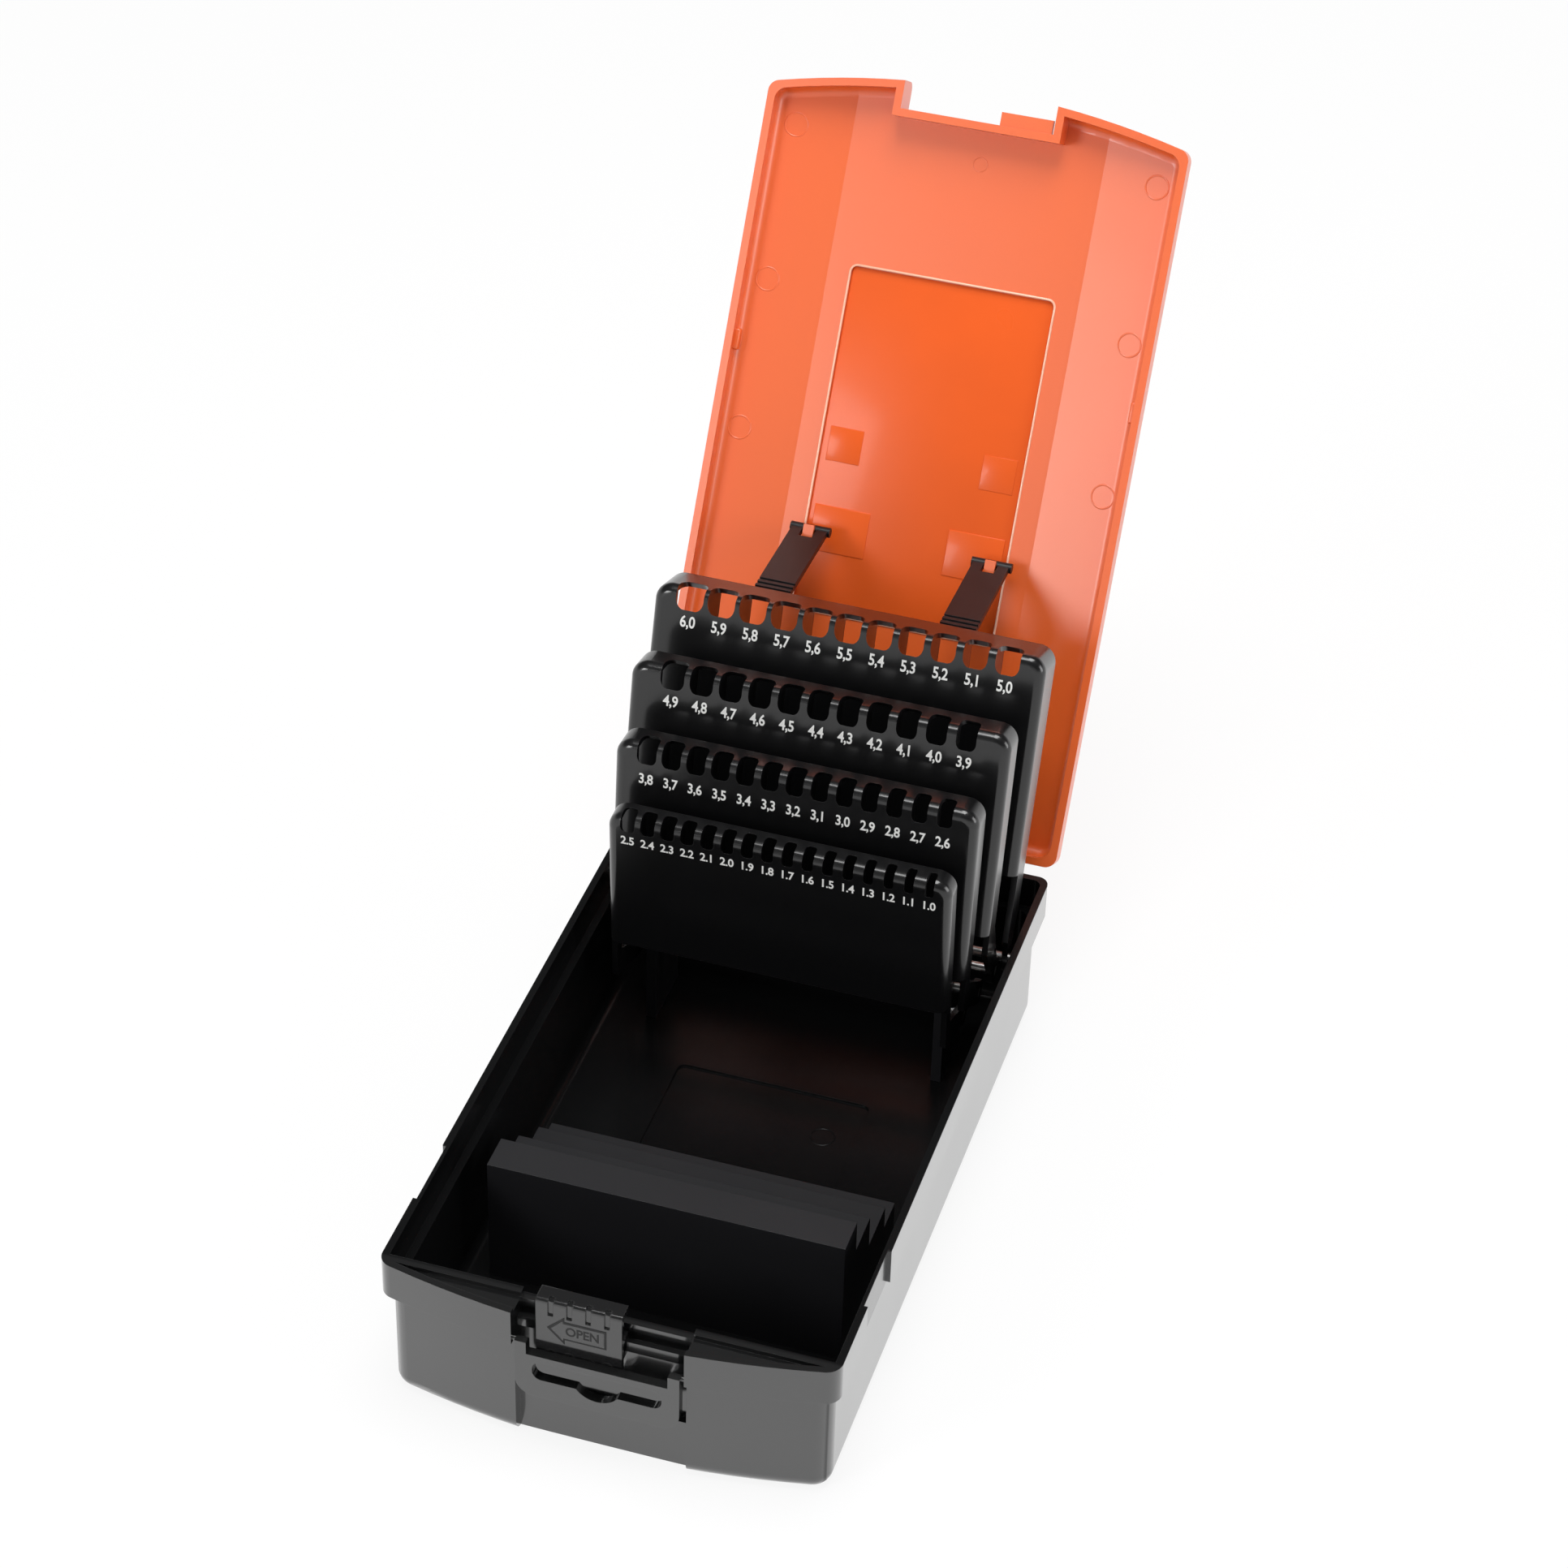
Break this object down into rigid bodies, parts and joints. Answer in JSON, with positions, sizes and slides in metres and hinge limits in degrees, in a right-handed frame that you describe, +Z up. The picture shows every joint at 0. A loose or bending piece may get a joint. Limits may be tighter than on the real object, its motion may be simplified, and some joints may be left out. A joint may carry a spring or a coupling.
{
  "type": "drill bit case",
  "caption": "Hinged plastic case whose lid raises stepped rows that hold drill bits by size, with a sliding latch and a folding carrying handle.",
  "frame": {"origin": "on the underside, on the centre plane, level with the front corners of the rim", "axes": "+X to the right, +Y from the latch to the hinge, +Z up"},
  "size_m": [0.11, 0.2993, 0.2029],
  "materials": {
    "tub_plastic": "black moulded plastic with a fine satin grain",
    "insert_plastic": "plain black moulded plastic",
    "lid_plastic": "orange-red moulded plastic, satin",
    "slider_plastic": "black moulded plastic, glossy in the grip grooves",
    "handle_plastic": "black moulded plastic, satin",
    "row_plastic": "black moulded plastic with white size numbers",
    "strap_plastic": "flexible black plastic",
    "axle_steel": "drawn steel wire"
  },
  "bodies": {
    "case": {"base_tub": "tub_plastic", "drill_stop": "insert_plastic", "hinge_pin_left": "axle_steel", "hinge_pin_right": "axle_steel", "row_axle_1": "axle_steel", "row_axle_2": "axle_steel", "row_axle_3": "axle_steel", "row_axle_4": "axle_steel", "bearing_plate_left": "insert_plastic", "bearing_plate_right": "insert_plastic"},
    "lid": {"lid": "lid_plastic"},
    "row_1": {"row_shell_1": "row_plastic"},
    "row_2": {"row_shell_2": "row_plastic"},
    "row_3": {"row_shell_3": "row_plastic"},
    "row_4": {"row_shell_4": "row_plastic"},
    "strap_left": {"strap_left": "strap_plastic"},
    "strap_right": {"strap_right": "strap_plastic"},
    "slider": {"latch_slider": "slider_plastic"},
    "handle": {"carry_handle": "handle_plastic"}
  },
  "joints": [
    {"name": "lid_hinge", "type": "hinge", "parent": "case", "child": "lid", "pos_m": [0, 0.1856, 0.0399], "axis": [1, 0, 0], "range_deg": [0, 121.25]},
    {"name": "row_1_fold", "type": "hinge", "parent": "case", "child": "row_1", "pos_m": [0, 0.1635, 0.0295], "axis": [1, 0, 0], "range_deg": [0, 100.4]},
    {"name": "row_2_fold", "type": "hinge", "parent": "case", "child": "row_2", "pos_m": [0, 0.1565, 0.0305], "axis": [1, 0, 0], "range_deg": [0, 98.4]},
    {"name": "row_3_fold", "type": "hinge", "parent": "case", "child": "row_3", "pos_m": [0, 0.1504, 0.0276], "axis": [1, 0, 0], "range_deg": [0, 94.4]},
    {"name": "row_4_fold", "type": "hinge", "parent": "case", "child": "row_4", "pos_m": [0, 0.1462, 0.023], "axis": [1, 0, 0], "range_deg": [0, 88.5]},
    {"name": "strap_left_swing", "type": "hinge", "parent": "lid", "child": "strap_left", "pos_m": [0, 0.22767, 0.1021], "axis": [1, 0, 0], "range_deg": [-121.25, 0]},
    {"name": "strap_right_swing", "type": "hinge", "parent": "lid", "child": "strap_right", "pos_m": [0, 0.22767, 0.1021], "axis": [1, 0, 0], "range_deg": [-121.25, 0]},
    {"name": "latch_slide", "type": "slide", "parent": "case", "child": "slider", "axis": [1, 0, 0], "range_m": [-0.0044, 0.0133]},
    {"name": "handle_swing", "type": "hinge", "parent": "case", "child": "handle", "pos_m": [0, -0.0047, 0.0323], "axis": [-1, 0, 0], "range_deg": [0, 90]}
  ],
  "couplings": [
    {"joint": "row_1_fold", "follows": "lid_hinge", "ratio": 0.82804},
    {"joint": "row_2_fold", "follows": "lid_hinge", "ratio": 0.81155},
    {"joint": "row_3_fold", "follows": "lid_hinge", "ratio": 0.77856},
    {"joint": "row_4_fold", "follows": "lid_hinge", "ratio": 0.7299},
    {"joint": "strap_left_swing", "follows": "lid_hinge", "ratio": -1},
    {"joint": "strap_right_swing", "follows": "lid_hinge", "ratio": -1}
  ]
}
